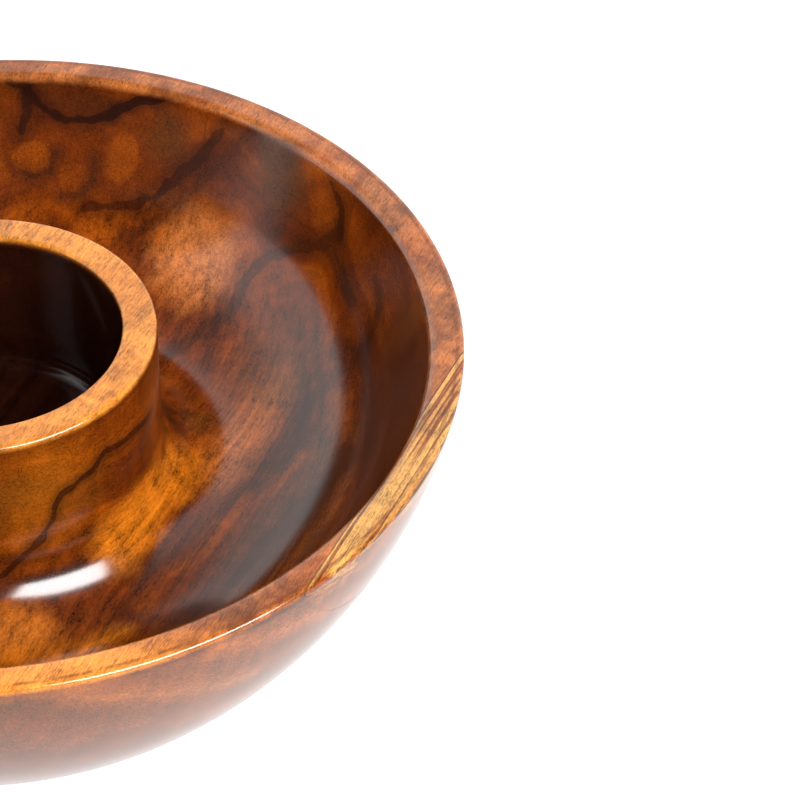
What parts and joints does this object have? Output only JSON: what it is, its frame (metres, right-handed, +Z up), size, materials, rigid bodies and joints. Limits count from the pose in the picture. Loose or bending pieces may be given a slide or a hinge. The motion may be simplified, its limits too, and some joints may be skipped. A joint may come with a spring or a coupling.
{
  "type": "chip and dip server",
  "caption": "Wide round wooden serving bowl with an integral dip cup standing in its middle and a curved chip tray around it.",
  "frame": {"origin": "on the resting plane, under the middle of the bowl", "axes": "+Z up along the turning axis, X along the grain of the boards, -Y towards the pale sapwood edge"},
  "size_m": [0.304, 0.304, 0.1017],
  "materials": {
    "acacia_heartwood": "clear gloss lacquer over straight to swirling brown acacia heartwood",
    "acacia_sapwood": "clear gloss lacquer over pale golden acacia sapwood"
  },
  "bodies": {
    "root": {"near_edge_board": "acacia_sapwood", "near_outer_board": "acacia_heartwood", "near_centre_board": "acacia_heartwood", "far_centre_board": "acacia_heartwood", "far_outer_board": "acacia_heartwood", "far_edge_board": "acacia_heartwood"}
  },
  "joints": []
}
